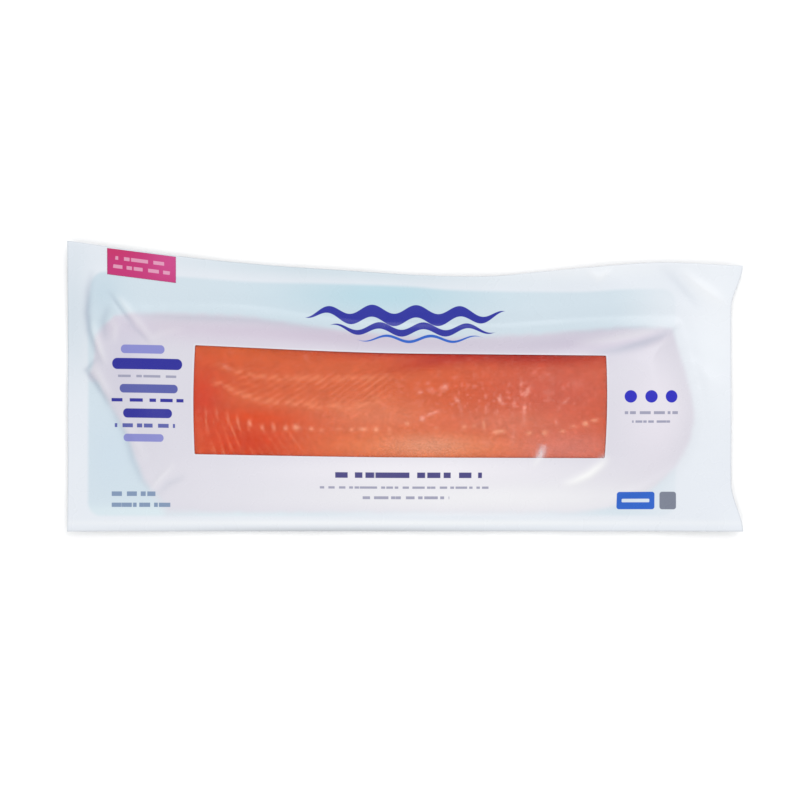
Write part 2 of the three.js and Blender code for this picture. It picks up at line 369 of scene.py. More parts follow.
def front_film_under(x, y, depth, way):
    over_back = margin_waves(x, y, depth) + FILM + SEAL_GAP
    seal = back_film_under(x, y, depth) + over_back
    level = margin_height(x, y) + over_back
    full = FISH_TOP_FLOOR + fish_thickness(x, y) + CLING
    share = np.clip((depth + TENT) / (shoulder_width(x, y) + TENT), 0, 1)
    rise = np.hypot(np.sin(np.pi / 2 * share), TENT_SOFTNESS) - TENT_SOFTNESS
    tent = blend(level, full, rise / (math.hypot(1, TENT_SOFTNESS) - TENT_SOFTNESS))
    cling = np.where(depth > 0, fish_top(x, y, depth) + CLING, seal)
    slack = SLACK + 0.1 * value_noise(x, y, 26, 4) + 0.05 * value_noise(x, y, 9, 5)
    folds = creases(x, y)[0] + gathers(x, y, depth, way)
    raised = smooth_maximum(tent, cling, CLING_SOFTNESS) + folds + slack
    return np.maximum(raised, np.maximum(cling, seal))


# ---- marks on the flesh ----

pin_bone_y = curve_through([
    (-150, -17), (-113, -23), (-97, -27.2), (-80, -28.6), (-30, -29.4), (40, -29.4), (110, -30.6),
    (124, -26.5), (134, -23.5), (150, -20),
])
low_fat_band = curve_through([
    (-150, 8), (-122, 0), (-108, -6.5), (-92, -10.5), (-72, -11.7), (-55, -13.6), (-38, -13.8),
    (-18, -9.5), (2, -8), (150, -6),
])
high_fat_band = curve_through([
    (-150, 18), (-121, 12), (-105, 8), (-90, 6), (-50, 5.5), (-30, 5), (20, 8), (150, 10),
])
# The muscle blocks' spacing along the back and the belly, and how their fat lines lean.
BLOCK_STEP, BLOCK_START = 6.7, -105.2
BACK_SLANT = 1.45
BELLY_STEP, BELLY_START = 5.6, -103.0
BELLY_SLANTS, BELLY_SLANT_RUN = (0.28, 0.75), (-130, -80)
# Pin bone marks: place along the fish, rise off the bones' line, half width and height, strength.
PIN_BONES = [
    (-135, 1, 1.0, 4.2, 0.3), (-127.6, 1.5, 1.2, 4.2, 0.35), (-120.3, 0, 1.2, 3.8, 0.4),
    (-113.4, -0.5, 1.2, 3.2, 0.42), (-105.2, 0, 1.4, 2.6, 0.68), (-96.8, -1, 1.5, 2.2, 0.6),
    (-89, 0.3, 1.3, 2.8, 0.6), (-80.9, 0, 1.7, 1.8, 0.65), (-73.6, 1, 2.3, 2.1, 0.9),
    (-63.2, 0, 1.9, 1.6, 0.65), (-56.6, -0.6, 1.6, 1.4, 0.45), (-44.3, 0.2, 2.6, 1.1, 0.4),
    (-36.2, 0, 1.8, 1.4, 0.6), (-28.4, 0.2, 2.8, 1.4, 0.75), (-19.6, 0, 1.8, 1.6, 0.8),
    (-10.7, -0.4, 1.4, 2.2, 0.4), (1.2, 4.2, 1.6, 1.4, 0.6), (21, 1, 1.4, 1.3, 0.3),
    (39.8, 1.8, 1.5, 1.5, 0.8), (46.3, 2.6, 1.5, 1.2, 0.4), (52.9, 3.6, 1.1, 3.0, 0.6),
    (61, -0.8, 2.2, 1.4, 0.7), (64.8, 0.2, 2.6, 1.2, 0.7), (83.8, 0, 2.0, 1.3, 0.6),
    (94.2, 0.2, 1.8, 1.7, 0.8), (106.2, 0.6, 1.8, 1.3, 0.5), (113.5, 2.6, 2.8, 1.1, 0.35),
    (121.6, 1.8, 1.9, 1.7, 1.0), (127.8, 2.2, 2.2, 1.2, 0.85),
]
# Pale flecks and streaks on the flesh, part albumin and part painted wet sheen: place, reach along and
# across, turn in degrees, strength.
FLECKS = [
    (10, -4.5, 1.6, 1.2, 0, 0.55), (15.4, 1.7, 1.6, 1.2, 40, 0.35), (17.5, -3.2, 2.6, 1.6, -20, 0.5),
    (26.2, -1.1, 2.8, 1.7, 30, 1), (33.6, 5.5, 1.5, 1.1, 20, 0.4), (34.7, -9.2, 2.8, 1.3, -55, 0.65),
    (37.6, -16, 3.6, 1.1, -80, 0.35), (11.6, -21.9, 2.0, 1.7, 60, 1), (16.2, -19.4, 2.4, 1.0, 28, 0.75),
    (20.5, -17.8, 2.4, 1.2, 22, 0.8), (63.7, -9.9, 3.0, 1.3, -55, 0.8), (78, 0.9, 1.5, 1.1, 80, 0.5),
    (80.3, -5.3, 2.0, 1.8, 60, 0.8), (83, -2.4, 3.4, 1.2, 60, 0.55), (80.3, -15.6, 4.4, 1.3, 88, 0.9),
    (80.3, -24.6, 2.8, 1.2, 90, 0.35), (101.9, -24.6, 2.4, 1.1, 90, 0.45),
    (107.3, -10.7, 3.0, 1.3, 45, 0.45), (96.5, -4.5, 2.6, 2.2, 0, 0.3), (73.3, -11, 4.4, 1.1, 90, 0.3),
    (72.6, -34, 6.0, 1.8, 90, 0.35), (54.8, -38.5, 3.0, 2.8, 0, 0.3), (95.7, 7.8, 2.2, 1.3, 0, 0.3),
    (87.2, 9.4, 2.4, 1.2, 50, 0.3), (115.8, 1.7, 4.0, 3.0, 0, 0.2), (-118, 23, 1.8, 1.2, 0, 0.25),
    (-67, 19.4, 1.9, 1.4, -60, 0.35), (-121, 13, 3.0, 1.6, -40, 0.25),
]


def oval(x, y, half_width, half_height, turn=0.0):
    """A soft oval spot round the origin, turned by an angle in degrees."""
    c, s = math.cos(math.radians(turn)), math.sin(math.radians(turn))
    return bell(x * c + y * s, half_width) * bell(y * c - x * s, half_height)


def fat_lines(x, y):
    """Pale fat lines and speckled fat bands between the muscle blocks, and the blocks' relief."""
    line_y = pin_bone_y(x)
    above = np.clip(y - line_y, 0, None)
    below = np.clip(line_y - y, 0, None)
    sway = 1.2 * value_noise(x, y, 28, 6) + 0.6 * value_noise(x, y, 7, 7)
    belly_slant = blend(*BELLY_SLANTS, smoothstep(x, *BELLY_SLANT_RUN))
    back_phase = (x - BLOCK_START + sway - BACK_SLANT * above) / BLOCK_STEP
    belly_phase = (x - BELLY_START + 0.6 * sway - belly_slant * below) / BELLY_STEP
    from_line = np.abs((back_phase + 0.5) % 1 - 0.5) * BLOCK_STEP
    from_belly_line = np.abs((belly_phase + 0.5) % 1 - 0.5) * BELLY_STEP
    width = 1.1 + 0.3 * value_noise(x, y, 11, 8)
    line, belly_line = bell(from_line, width), bell(from_belly_line, 0.8 * width)

    low, high = low_fat_band(x), high_fat_band(x)
    between = smoothstep(y - low, -3, 3) * (1 - smoothstep(y - high, -3, 4))
    tail_part = smoothstep(x, -130, -105) * (1 - smoothstep(x, -30, 10))
    chevrons = oval(x + 18, y - 2, 26, 12)
    back_zone = smoothstep(above, 6, 14) * 0.06 + 0.6 * between * tail_part + 0.3 * chevrons
    belly_zone = smoothstep(below, 0, 5) * (0.06 + 0.8 * smoothstep(-x, 52, 80))
    lines = line * back_zone + belly_line * belly_zone

    spot = bell(from_line, 1.9)
    broken = np.clip(0.5 + 0.9 * value_noise(x, y, 3.2, 16), 0, 1)
    bands = bell(y - low, 2.4) + 0.8 * bell(y - high, 2.3)
    bands *= (0.45 + 0.55 * spot) * (0.15 + 1.1 * broken)
    bands *= smoothstep(-x, -4, 30) * (1 - smoothstep(-x, 122, 140))

    patch = 0.6 + 0.5 * value_noise(x, y, 9, 9) + 0.5 * value_noise(x, y, 2.4, 14)
    return np.clip(lines * patch + 1.3 * bands, 0, 1), back_zone + belly_zone - lines


def pin_bone_marks(x, y):
    """The row of marks where the pin bones were drawn out."""
    bone = np.zeros(np.shape(x))
    for at, rise, half_width, half_height, strength in PIN_BONES:
        centre_y = float(pin_bone_y(at)) + rise
        lean = 6 if half_height > half_width else 0
        bone += strength * oval(x - at, y - centre_y, half_width, half_height, lean)
    return bone * (0.9 + 0.35 * value_noise(x, y, 2.2, 17))


def pale_flecks_and_sheen(x, y):
    """Pale flecks and streaks, part albumin and part painted wet sheen, and a fine mottle among them.
    """
    fleck = np.zeros(np.shape(x))
    bend = 0.5 * value_noise(x, y, 2.6, 10)
    for at, centre_y, long, short, turn, bright in FLECKS:
        fleck += bright * oval(x - at, y - centre_y + bend, long, short, turn)
    fleck *= 0.85 + 0.45 * value_noise(x, y, 1.8, 11)
    mottled = 0.2 + oval(x - 60, y + 8, 54, 14)
    fleck += 0.32 * mottled * np.clip(1.8 * value_noise(x, y, 2.0, 15) - 0.5, 0, 1)
    return np.clip(fleck, 0, 1)


def flesh_marks(x, y):
    """The fat, bone and fleck marks on the flesh, and the low relief of them all."""
    fat, muscle = fat_lines(x, y)
    bone = pin_bone_marks(x, y)
    fleck = pale_flecks_and_sheen(x, y)
    relief = 0.14 * muscle + 0.12 * bone + 0.1 * fleck + 0.05 * value_noise(x, y, 4, 12)
    return fat, np.clip(bone, 0, 1), fleck, relief


# ---- mesh making ----

def add_object(name, data):
    made = bpy.data.objects.new(name, data)
    bpy.context.scene.collection.objects.link(made)
    return made


def add_mesh(name, vertices, faces, marks=None):
    """A smooth piece from vertices in millimetres, with named values at its vertices."""
    mesh = bpy.data.meshes.new(name)
    mesh.from_pydata((np.asarray(vertices) * MM).tolist(), [], faces)
    mesh.polygons.foreach_set("use_smooth", [True] * len(mesh.polygons))
    for mark, values in (marks or {}).items():
        mesh.attributes.new(mark, "FLOAT", "POINT").data.foreach_set("value", np.ravel(values))
    mesh.validate()
    mesh.update()
    return add_object(name, mesh)


def grid_faces(rows, columns, start=0, flip=False):
    corner = start + (np.arange(rows - 1)[:, None] * columns + np.arange(columns - 1)).ravel()
    quads = np.stack([corner, corner + 1, corner + columns + 1, corner + columns], axis=-1)
    return (quads[:, ::-1] if flip else quads).tolist()


def grid_rim(rows, columns):
    """The vertices round a grid's edge, anticlockwise from above."""
    bottom = np.arange(columns - 1)
    right = np.arange(rows - 1) * columns + columns - 1
    top = (rows - 1) * columns + np.arange(columns - 1, 0, -1)
    left = np.arange(rows - 1, 0, -1) * columns
    return np.concatenate([bottom, right, top, left])


def wall_faces(lower, upper):
    return np.stack([lower, np.roll(lower, -1), np.roll(upper, -1), upper], axis=-1).tolist()


def sheet(name, x, y, under, top, marks=None):
    """A closed thin sheet over a grid of places, between its two faces."""
    rows, columns = x.shape
    count = rows * columns
    vertices = [np.stack([x, y, height], axis=-1).reshape(-1, 3) for height in (under, top)]
    rim = grid_rim(rows, columns)
    faces = grid_faces(rows, columns, flip=True) + grid_faces(rows, columns, start=count)
    faces += wall_faces(rim, rim + count)
    both = {mark: np.concatenate([values.ravel()] * 2) for mark, values in (marks or {}).items()}
    return add_mesh(name, np.concatenate(vertices), faces, both)


def spread(*stretches):
    """Shares from 0 to 1 from (end, step) pairs: finer steps where the detail is."""
    places = [0.0]
    for end, step in stretches:
        count = max(1, round((end - places[-1]) / step))
        places.extend(np.linspace(places[-1], end, count + 1)[1:])
    return np.array(places)


# ---- shader nodes ----

# How bright a white surface is in the studio, and how much brighter gloss makes a piece.
STUDIO_LEVEL = 1.22
FLESH_LEVEL = 0.98
FILM_GLOSS, FLESH_GLOSS = 0.04, 0.012


def srgb(red, green, blue, level=STUDIO_LEVEL, gloss=FILM_GLOSS):
    """The linear paint colour of a piece that is to look so under the studio's light."""
    values = np.array([red, green, blue]) / 255
    linear = np.where(values <= 0.04045, values / 12.92, ((values + 0.055) / 1.055) ** 2.4)
    return (*(np.clip(linear - gloss, 0.002, 1) / level), 1.0)


def node(tree, kind, inputs=None, **settings):
    made = tree.nodes.new("ShaderNode" + kind)
    for key, value in settings.items():
        setattr(made, key, value)
    for key, value in (inputs or {}).items():
        if isinstance(value, bpy.types.NodeSocket):
            tree.links.new(value, made.inputs[key])
        else:
            made.inputs[key].default_value = value
    return made


def math_node(tree, operation, *values):
    return node(tree, "Math", dict(enumerate(values)), operation=operation).outputs[0]


def times(tree, first, second):
    return math_node(tree, "MULTIPLY", first, second)


def vector_node(tree, operation, *values):
    made = node(tree, "VectorMath", dict(enumerate(values)), operation=operation)
    return made.outputs["Value" if operation == "LENGTH" else "Vector"]


def split(tree, vector):
    return node(tree, "SeparateXYZ", {0: vector}).outputs


def joined(tree, x, y):
    return node(tree, "CombineXYZ", {0: x, 1: y}).outputs[0]


def ramp(tree, value, start, end, low=0.0, high=1.0):
    inputs = {"Value": value, "From Min": start, "From Max": end, "To Min": low, "To Max": high}
    made = node(tree, "MapRange", inputs, interpolation_type="SMOOTHSTEP")
    return made.outputs["Result"]


def mix_colour(tree, share, first, second):
    return node(tree, "Mix", {0: share, 6: first, 7: second}, data_type="RGBA").outputs[2]


def noise(tree, place, scale, detail=2.0, roughness=0.5):
    inputs = {"Vector": place, "Scale": scale, "Detail": detail, "Roughness": roughness}
    return node(tree, "TexNoise", inputs).outputs["Fac"]


def new_group(name, inputs, outputs):
    """A shader node group, with the sockets that bring its inputs and take its outputs."""
    group = bpy.data.node_groups.new(name, "ShaderNodeTree")
    for label, kind, value in inputs:
        socket = group.interface.new_socket(label, in_out="INPUT", socket_type="NodeSocket" + kind)
        if value is not None:
            socket.default_value = value
    for label, kind in outputs:
        group.interface.new_socket(label, in_out="OUTPUT", socket_type="NodeSocket" + kind)
    given, result = group.nodes.new("NodeGroupInput"), group.nodes.new("NodeGroupOutput")
    return group, given.outputs, result.inputs


def mask_group(name, inputs, mask_at):
    """A group that gives a mask at a place near a centre, which a function works out."""
    placed = [("Place", "Vector", None), ("Centre", "Vector", None)]
    group, given, result = new_group(name, placed + inputs, [("Mask", "Float")])
    group.links.new(mask_at(group, given), result["Mask"])
    return group


def use_group(tree, group, **inputs):
    """A group's node with its inputs by name. A pair stands for a place or size without height."""
    named = {}
    for label, value in inputs.items():
        pair = isinstance(value, (tuple, list)) and len(value) == 2
        named[label.replace("_", " ").capitalize()] = (*value, 0) if pair else value
    return node(tree, "Group", named, node_tree=group)


def from_centre(group, given):
    """The place from the centre, turned back by the turn and laid flat."""
    away = vector_node(group, "SUBTRACT", given["Place"], given["Centre"])
    turn = times(group, given["Turn"], -1.0)
    turned = node(group, "VectorRotate", {"Vector": away, "Angle": turn}, rotation_type="Z_AXIS")
    return vector_node(group, "MULTIPLY", turned.outputs["Vector"], (1, 1, 0))


def box_mask(group, given):
    """A rounded rectangle of print."""
    corner = joined(group, given["Corner"], given["Corner"])
    inner = vector_node(group, "SUBTRACT", given["Half size"], corner)
    away = vector_node(group, "ABSOLUTE", from_centre(group, given))
    beyond = vector_node(group, "SUBTRACT", away, inner)
    outside = vector_node(group, "LENGTH", vector_node(group, "MAXIMUM", beyond, (0, 0, 0)))
    beyond_x, beyond_y, _ = split(group, beyond)
    inside = math_node(group, "MINIMUM", math_node(group, "MAXIMUM", beyond_x, beyond_y), 0.0)
    distance = math_node(group, "ADD", outside, inside)
    distance = math_node(group, "SUBTRACT", distance, given["Corner"])
    near = times(group, given["Softness"], -1.0)
    return ramp(group, distance, near, given["Softness"], 1.0, 0.0)


def dashes_mask(group, given):
    """A printed line broken into plain dashes of uneven length."""
    box = use_group(group, PRINT_BOX, place=given["Place"], centre=given["Centre"],
                    half_size=given["Half size"], turn=given["Turn"], corner=0.3)
    along = split(group, given["Place"])[0]
    step = math_node(group, "ADD", math_node(group, "DIVIDE", along, given["Dash"]), given["Seed"])
    uneven = node(group, "TexNoise", {"W": step, "Scale": 1.0, "Detail": 0.0}, noise_dimensions="1D")
    return times(group, box.outputs["Mask"], ramp(group, uneven.outputs["Fac"], 0.4, 0.43))


def wave_mask(group, given):
    """A wavy printed line with tapering ends."""
    x, y, _ = split(group, vector_node(group, "SUBTRACT", given["Place"], given["Centre"]))
    angle = times(group, math_node(group, "DIVIDE", x, given["Wavelength"]), 2 * math.pi)
    height = times(group, math_node(group, "SINE", angle), given["Swing"])
    off = math_node(group, "ABSOLUTE", math_node(group, "SUBTRACT", y, height))
    reach = math_node(group, "ABSOLUTE", math_node(group, "DIVIDE", x, given["Half length"]))
    taper = math_node(group, "SUBTRACT", 1.0, math_node(group, "POWER", reach, 3.0))
    half = times(group, times(group, given["Thickness"], 0.5), taper)
    return ramp(group, math_node(group, "SUBTRACT", off, half), -0.2, 0.2, 1.0, 0.0)


def zone_mask(group, given):
    """A soft oval patch, for tints and shades."""
    shares = vector_node(group, "DIVIDE", from_centre(group, given), given["Reach"])
    length = vector_node(group, "LENGTH", shares)
    fall = math_node(group, "EXPONENT", times(group, times(group, length, length), -1.0))
    return times(group, fall, given["Strength"])


def make_pack_place():
    """The object's own place in millimetres, and the same place on the flat, unshrunk print."""
    group, given, result = new_group("Pack place", [("Object", "Vector", None)],
                                     [("Place", "Vector"), ("Print", "Vector")])
    place = vector_node(group, "MULTIPLY", given["Object"], (1 / MM, 1 / MM, 1 / MM))
    x, y, _ = split(group, place)
    lift = ramp(group, x, *PRINT_LIFT_RUN, PRINT_LIFT, 0.0)
    share = math_node(group, "DIVIDE", math_node(group, "SUBTRACT", y, PRINT_FOOT), PRINT_REACH)
    level_y = math_node(group, "SUBTRACT", y, times(group, lift, share))
    group.links.new(place, result["Place"])
    group.links.new(joined(group, x, level_y), result["Print"])
    return group


def make_film_surface():
    """Fine unevenness of a pouch film: its bump height and its roughness."""
    group, given, result = new_group("Film surface", [
        ("Place", "Vector", None), ("Gloss", "Float", 0.22),
    ], [("Height", "Float"), ("Roughness", "Float")])
    broad = noise(group, given["Place"], 0.09)
    stretched = vector_node(group, "MULTIPLY", given["Place"], (0.35, 1.0, 1.0))
    fine = noise(group, stretched, 0.7, detail=3.0, roughness=0.6)
    height = math_node(group, "ADD", times(group, broad, 0.8), times(group, fine, 0.12))
    smear = ramp(group, noise(group, given["Place"], 0.05, detail=3.0), 0.35, 0.7, -0.05, 0.08)
    group.links.new(height, result["Height"])
    group.links.new(math_node(group, "ADD", given["Gloss"], smear), result["Roughness"])
    return group


PRINT_BOX = mask_group("Print box", [
    ("Half size", "Vector", None), ("Corner", "Float", 0.5), ("Turn", "Float", 0.0),
    ("Softness", "Float", 0.18),
], box_mask)
PRINT_DASHES = mask_group("Print dashes", [
    ("Half size", "Vector", None), ("Turn", "Float", 0.0), ("Dash", "Float", 6.0),
    ("Seed", "Float", 0.0),
], dashes_mask)
PRINT_WAVE = mask_group("Print wave", [
    ("Half length", "Float", 60.0), ("Swing", "Float", 3.0), ("Wavelength", "Float", 30.0),
    ("Thickness", "Float", 4.0),
], wave_mask)
SOFT_ZONE = mask_group("Soft zone", [
    ("Reach", "Vector", (1, 1, 1)), ("Turn", "Float", 0.0), ("Strength", "Float", 1.0),
], zone_mask)
PACK_PLACE = make_pack_place()
FILM_SURFACE = make_film_surface()


def paint(piece, name, surface_at):
    """Give a piece a material, whose surface a function builds for a place on the piece."""
    material = bpy.data.materials.new(name)
    material.use_nodes = True
    tree = material.node_tree
    tree.nodes.clear()
    output = tree.nodes.new("ShaderNodeOutputMaterial")
    coordinates = tree.nodes.new("ShaderNodeTexCoord").outputs["Object"]
    places = use_group(tree, PACK_PLACE, object=coordinates)
    surface = surface_at(tree, places.outputs["Place"], places.outputs["Print"])
    tree.links.new(surface.outputs[0], output.inputs["Surface"])
    piece.data.materials.append(material)


def cover(tree, colour, ink, group, **inputs):
    """Lay an ink over a colour where a group's mask says."""
    return mix_colour(tree, use_group(tree, group, **inputs).outputs["Mask"], colour, ink)


def mark_value(tree, name):
    return node(tree, "Attribute", attribute_name=name, attribute_type="GEOMETRY").outputs["Fac"]


def bump(tree, height, strength, distance):
    inputs = {"Height": height, "Strength": strength, "Distance": distance * MM}
    return node(tree, "Bump", inputs).outputs["Normal"]


# ---- the print ----

MARGIN = srgb(236, 241, 248)
PANEL = srgb(217, 231, 240)
FISH_SHADE = srgb(225, 223, 233)
BACK_FISH_SHADE = srgb(229, 218, 226)
BORDER = srgb(238, 239, 246)
# Painted shade for the folds' valleys and painted highlight for their ridges.
FOLD_PAINTED_SHADOW = srgb(158, 172, 192)
FOLD_PAINTED_HIGHLIGHT = srgb(255, 255, 255)
DEEP_BLUE = srgb(10, 62, 166)
BRIGHT_BLUE = srgb(10, 34, 196)
LILAC_BLUE = srgb(146, 148, 214)
DARK_BLUE = srgb(44, 42, 160)
SLATE_BLUE = srgb(98, 104, 176)
SLATE = srgb(138, 158, 188)
GREY_LILAC = srgb(168, 168, 190)
INDIGO = srgb(78, 74, 134)
MID_BLUE = srgb(44, 108, 208)
GREY = srgb(132, 138, 154)
PALE = srgb(226, 236, 246)

# Tints of the film's panel, partly print tone and partly painted light (lighter along the bottom):
# centre, reach and turn in millimetres and degrees, strength, colour.
PANEL_TINTS_AND_LIGHT = [
    ((-14, 62), (64, 14), 0, 0.85, srgb(189, 222, 234)),
    ((-206, 64), (14, 18), 0, 0.7, srgb(201, 220, 232)),
    ((-200, -46), (22, 30), 0, 0.4, srgb(208, 225, 239)),
    ((-150, -86), (110, 5), 0, 0.6, srgb(231, 245, 249)),
    ((196, 30), (34, 80), 0, 0.75, srgb(225, 234, 240)),
    ((40, -88), (90, 5), 0, 0.8, srgb(245, 247, 252)),
]
# Tints of the margins, with a painted highlight line and below it a painted shadow line along the
# bottom edge.
MARGIN_TINTS_AND_EDGE_SHADOW = [
    ((-226, 50), (12, 46), 0, 0.75, srgb(214, 226, 235)),
    ((-40, 80), (120, 9), -3, 0.6, srgb(199, 219, 228)),
    ((214, 40), (22, 70), 0, 0.8, srgb(246, 250, 255)),
    ((120, 80), (80, 8), 3, 0.5, srgb(246, 249, 252)),
    ((0, -93.3), (230, 2.0), 0, 0.6, srgb(253, 255, 255)),
    ((0, -98.6), (230, 1.4), 0, 0.4, srgb(212, 217, 223)),
    ((-50, -99.4), (110, 2.8), 0, 0.85, srgb(194, 198, 203)),
]
# Painted light and shade on the film over the fish: darker along its upper slope and tail end, lighter
# along its lower slope.
FISH_LIGHT_AND_SHADE = [
    ((-60, 34), (150, 9), -3, 0.6, srgb(209, 192, 213)),
    ((120, 30), (60, 8), 3, 0.6, srgb(204, 194, 214)),
    ((60, -76), (150, 13), 0, 0.7, srgb(254, 254, 255)),
    ((15, -57), (110, 11), 0, 0.7, srgb(253, 250, 255)),
    ((172, -20), (26, 40), 0, 0.6, srgb(245, 239, 248)),
    ((-190, 20), (16, 30), 0, 0.5, srgb(211, 206, 226)),
]

# Plain blocks of ink: centre, half size, corner, colour.
INK_BLOCKS = [
    ((-178, 20), (15, 2.8), 2.7, LILAC_BLUE),
    ((-175, 10.5), (24, 3.6), 3.5, DARK_BLUE),
    ((-174, -5.5), (20, 2.8), 2.7, SLATE_BLUE),
    ((-175, -21.5), (17, 3.0), 2.9, DARK_BLUE),
    ((-178, -37.5), (14, 2.5), 2.4, LILAC_BLUE),
    *[((x, -7), (4.2, 4.2), 4.2, BRIGHT_BLUE) for x in (152, 166, 180)],
    ((157, -78), (13, 6), 1.8, MID_BLUE),
    ((157, -78), (9.5, 1.2), 0.6, PALE),
    ((179, -78), (5.6, 6), 1.8, GREY),
]
# Lines of dashes: centre, half size, dash length, seed, colour.
INK_LINES = [
    ((-175, 2.5), (20, 0.8), 5.0, 0.3, GREY_LILAC),
    ((-175, -13), (25, 1.1), 7.0, 4.6, DARK_BLUE),
    ((-177, -29.5), (21, 1.3), 5.0, 6.4, SLATE_BLUE),
    ((-185, -74), (15, 1.5), 4.6, 9.1, SLATE),
    ((-179, -81.2), (21, 1.4), 3.4, 14.2, SLATE),
    ((0, -60.5), (52, 1.9), 7.0, 21.7, INDIGO),
    ((0, -69), (58, 0.8), 3.6, 27.4, GREY_LILAC),
    ((0, -76), (30, 1.0), 4.2, 33.8, GREY_LILAC),
    ((166, -18), (19, 1.0), 3.2, 41.5, GREY_LILAC),
    ((166, -24), (13, 0.8), 2.8, 47.3, GREY_LILAC),
]
# Wavy lines of one wavelength: centre, half length, swing, thickness, colour.
WAVELENGTH = 30.0
WAVES = [
    ((0, 48), 68.0, 3.0, 8.5, DEEP_BLUE),
    ((5, 38.5), 56.0, 2.6, 4.8, DEEP_BLUE),
    ((10, 32), 42.0, 2.0, 2.0, MID_BLUE),
]


def tint(tree, place, colour, tints):
    for centre, reach, turn, strength, shade in tints:
        colour = cover(tree, colour, shade, SOFT_ZONE, place=place, centre=centre,
                       reach=(*reach, 1), turn=math.radians(turn), strength=strength)
    return colour


# How much painted highlight a fold's ridge carries.
def painted_ridge_share(tree):
    return math_node(tree, "MAXIMUM", times(tree, mark_value(tree, "fold_painted_light"), -1.0), 0.0)


def with_painted_fold_light(tree, colour):
    """Painted shade in a fold's valley and painted highlight on its ridge, laid over the film's colour.
    """
    painted_dark = math_node(tree, "MAXIMUM", mark_value(tree, "fold_painted_light"), 0.0)
    colour = mix_colour(tree, painted_dark, colour, FOLD_PAINTED_SHADOW)
    return mix_colour(tree, painted_ridge_share(tree), colour, FOLD_PAINTED_HIGHLIGHT)


def film_ground(tree, place, print_place, pane_place):
    """The film's pale ground, its panel, the fish that shows through it and the window's border."""
    on_panel = joined(tree, mark_value(tree, "panel_x"), mark_value(tree, "panel_y"))
    panel_box = use_group(tree, PRINT_BOX, place=on_panel, centre=PANEL_CENTRE,
                          half_size=PANEL_HALF, corner=9.0, softness=1.6)
    along = split(tree, print_place)[0]
    panel = times(tree, panel_box.outputs["Mask"], ramp(tree, along, *PANEL_FADE, 1.0, PANEL_FADED))
    ground = mix_colour(tree, panel, tint(tree, place, MARGIN, MARGIN_TINTS_AND_EDGE_SHADOW),
                        tint(tree, place, PANEL, PANEL_TINTS_AND_LIGHT))
    ground = mix_colour(tree, mark_value(tree, "fish_near"), ground,
                        tint(tree, place, FISH_SHADE, FISH_LIGHT_AND_SHADE))
    border_half = [half + WINDOW_BORDER for half in WINDOW_HALF]
    border = use_group(tree, PRINT_BOX, place=pane_place, centre=WINDOW_CENTRE,
                       half_size=border_half, turn=WINDOW_TURN, corner=1.4)
    return mix_colour(tree, times(tree, border.outputs["Mask"], BORDER_SHARE), ground, BORDER)


def inked(tree, colour, place):
    """The ink blocks, dashes and waves, printed over a colour."""
    for centre, half, corner, ink in INK_BLOCKS:
        colour = cover(tree, colour, ink, PRINT_BOX, place=place, centre=centre, half_size=half,
                       corner=corner)
    for centre, half, dash, seed, ink in INK_LINES:
        colour = cover(tree, colour, ink, PRINT_DASHES, place=place, centre=centre, half_size=half,
                       dash=dash, seed=seed)
    for centre, half, swing, thickness, ink in WAVES:
        colour = cover(tree, colour, ink, PRINT_WAVE, place=place, centre=centre, half_length=half,
                       swing=swing, wavelength=WAVELENGTH, thickness=thickness)
    return colour


def window_place(tree, print_place):
    """The place in the window's own frame, in which it is a plain box."""
    x, y, _ = split(tree, print_place)
    past = math_node(tree, "SUBTRACT", x, NARROW_FROM)
    narrowed = math_node(tree, "MULTIPLY_ADD", past, NARROWING, 1.0)
    up = math_node(tree, "SUBTRACT", y, WINDOW_CENTRE[1])
    share = math_node(tree, "DIVIDE", up, WINDOW_HALF[1])
    bulge = math_node(tree, "MULTIPLY_ADD", times(tree, share, share), BULGE, BULGE_AT_MIDDLE)
    window_y = math_node(tree, "MULTIPLY_ADD", up, narrowed, WINDOW_CENTRE[1])
    return joined(tree, times(tree, x, bulge), window_y)


# The clear film's refractive index, kept low because many layers of light pass it.
PANE_BENDING = 1.16
# The films' bump: strength and distance.
FILM_BUMP = (0.35, 0.6)


def front_film_surface(tree, place, print_place):
    pane_place = window_place(tree, print_place)
    film = use_group(tree, FILM_SURFACE, place=place, gloss=0.3)
    normal = bump(tree, film.outputs["Height"], *FILM_BUMP)
    ground = with_painted_fold_light(tree, film_ground(tree, place, print_place, pane_place))
    printed = node(tree, "BsdfPrincipled", {
        "Base Color": inked(tree, ground, print_place), "Roughness": film.outputs["Roughness"],
        "Normal": normal, "IOR": 1.5,
    })
    shine = node(tree, "BsdfPrincipled", {
        "Base Color": (1, 1, 1, 1), "Metallic": 1.0, "Roughness": film.outputs["Roughness"],
        "Normal": normal,
    })
    # From inside, the Fresnel node turns the index over, so it is turned over once more.
    inner_face = tree.nodes.new("ShaderNodeNewGeometry").outputs["Backfacing"]
    bending = math_node(tree, "MULTIPLY_ADD", inner_face, 1 / PANE_BENDING - PANE_BENDING, PANE_BENDING)
    gloss = node(tree, "Fresnel", {"IOR": bending, "Normal": normal}).outputs[0]
    see_through = node(tree, "BsdfTransparent")
    pane = node(tree, "MixShader", {0: gloss, 1: see_through.outputs[0], 2: shine.outputs[0]})
    window = use_group(tree, PRINT_BOX, place=pane_place, centre=WINDOW_CENTRE,
                       half_size=WINDOW_HALF, turn=WINDOW_TURN, corner=0.8, softness=0.15)
    # A painted glare on a fold is seen over the flesh, but it keeps no light from it.
    camera_ray = tree.nodes.new("ShaderNodeLightPath").outputs["Is Camera Ray"]
    glare = times(tree, painted_ridge_share(tree), camera_ray)
    clear = times(tree, window.outputs["Mask"], math_node(tree, "SUBTRACT", 1.0, glare))
    return node(tree, "MixShader", {0: clear, 1: printed.outputs[0], 2: pane.outputs[0]})


